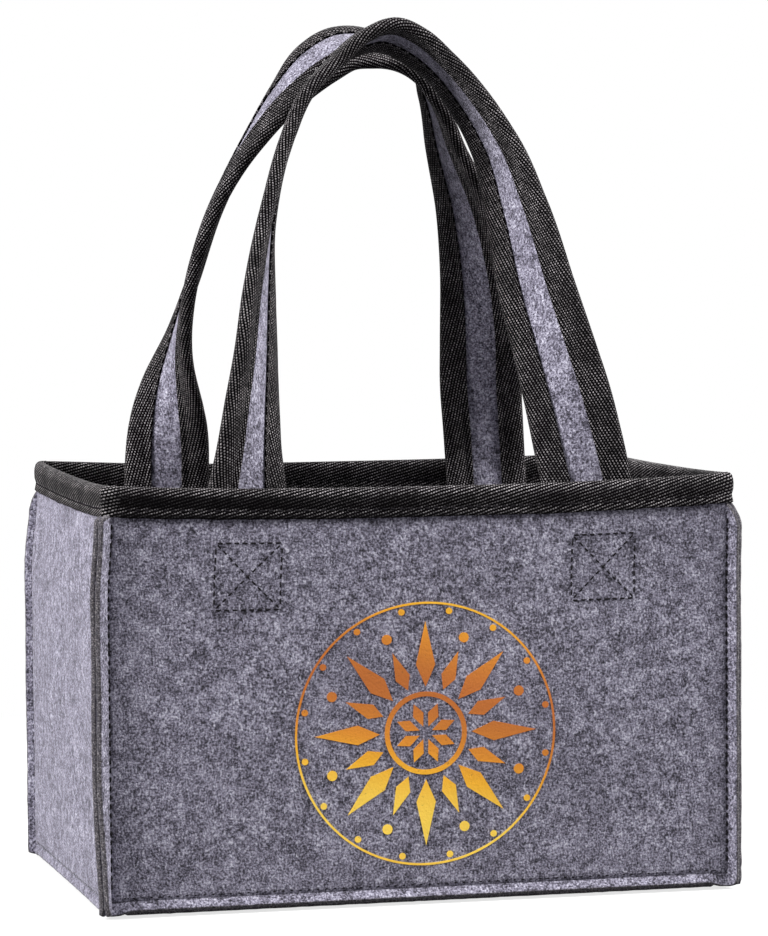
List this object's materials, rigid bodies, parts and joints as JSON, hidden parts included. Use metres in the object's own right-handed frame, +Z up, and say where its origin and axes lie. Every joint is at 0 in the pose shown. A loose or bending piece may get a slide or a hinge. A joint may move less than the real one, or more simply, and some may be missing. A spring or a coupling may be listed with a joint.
{
  "type": "six pack carrier",
  "caption": "Grey felt box carrier with a taped rim, tape-edged strap handles that fold outward, and a lift-out divider insert that keeps upright bottles apart.",
  "frame": {"origin": "floor level under the middle of the carrier", "axes": "+X along the long wall to the right as seen from the front, +Y from the front wall to the back wall, +Z up"},
  "size_m": [0.2408, 0.1638, 0.3214],
  "materials": {
    "grey_felt": "pressed mottled felt",
    "black_tape": "woven herringbone tape",
    "dark_thread": "sewing thread"
  },
  "bodies": {
    "carrier": {"front_panel": "grey_felt", "back_panel": "grey_felt", "left_panel": "grey_felt", "right_panel": "grey_felt", "base_panel": "grey_felt", "front_left_strap_end": "grey_felt", "front_right_strap_end": "grey_felt", "back_left_strap_end": "grey_felt", "back_right_strap_end": "grey_felt", "rim_binding": "black_tape", "front_left_end_tapes": "black_tape", "front_right_end_tapes": "black_tape", "back_left_end_tapes": "black_tape", "back_right_end_tapes": "black_tape", "corner_seam_threads": "dark_thread", "base_seam_threads": "dark_thread", "rim_stitching": "dark_thread", "front_box_stitches": "dark_thread", "back_box_stitches": "dark_thread"},
    "front_handle": {"front_handle_felt": "grey_felt", "front_handle_outer_tape": "black_tape", "front_handle_inner_tape": "black_tape"},
    "back_handle": {"back_handle_felt": "grey_felt", "back_handle_outer_tape": "black_tape", "back_handle_inner_tape": "black_tape"},
    "divider_insert": {"long_divider": "grey_felt", "left_cross_divider": "grey_felt", "right_cross_divider": "grey_felt"}
  },
  "joints": [
    {"name": "front_handle_fold", "type": "hinge", "parent": "carrier", "child": "front_handle", "pos_m": [0, -0.0747, 0.165], "axis": [1, 0, 0], "range_deg": [0, 150]},
    {"name": "back_handle_fold", "type": "hinge", "parent": "carrier", "child": "back_handle", "pos_m": [0, 0.0747, 0.165], "axis": [-1, 0, 0], "range_deg": [0, 150]},
    {"name": "insert_lift", "type": "slide", "parent": "carrier", "child": "divider_insert", "axis": [0, 0, 1], "range_m": [0, 0.08]}
  ]
}
